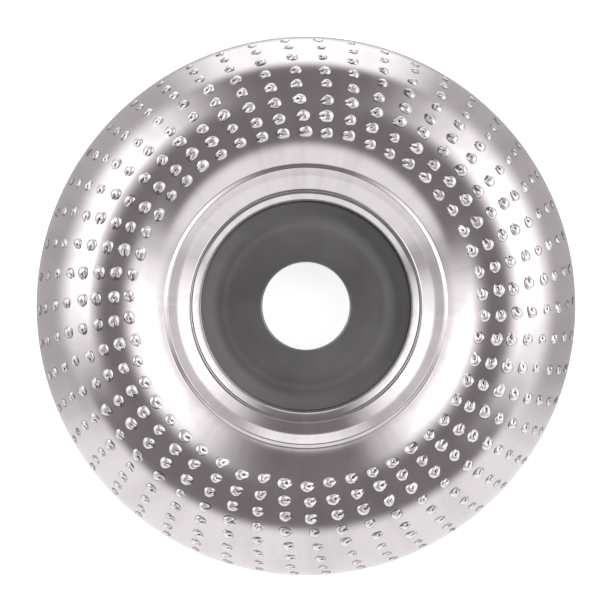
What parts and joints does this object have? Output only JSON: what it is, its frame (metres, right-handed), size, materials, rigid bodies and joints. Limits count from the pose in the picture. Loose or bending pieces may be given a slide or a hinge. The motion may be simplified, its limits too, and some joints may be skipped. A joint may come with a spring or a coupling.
{
  "type": "angle grinder carving disc",
  "caption": "Round domed steel rasp disc with raised teeth on its crown and wall, a dished throat and a flat hub plate with a central bore.",
  "frame": {"origin": "centre of the plane that the rim's lip rests on, on the disc's axis", "axes": "+Z along the disc's axis, out of the toothed face and away from the grinder; X and Y lie in the rim plane"},
  "size_m": [0.099, 0.0992, 0.0165],
  "materials": {
    "plated_steel": "bright plated pressed steel with a faint warm tint and fine polishing marks",
    "polished_collar": "polished plated steel",
    "dark_hub_steel": "satin dark grey steel"
  },
  "bodies": {
    "root": {"toothed_shell": "plated_steel", "throat_collar": "polished_collar", "hub_plate": "dark_hub_steel"}
  },
  "joints": []
}
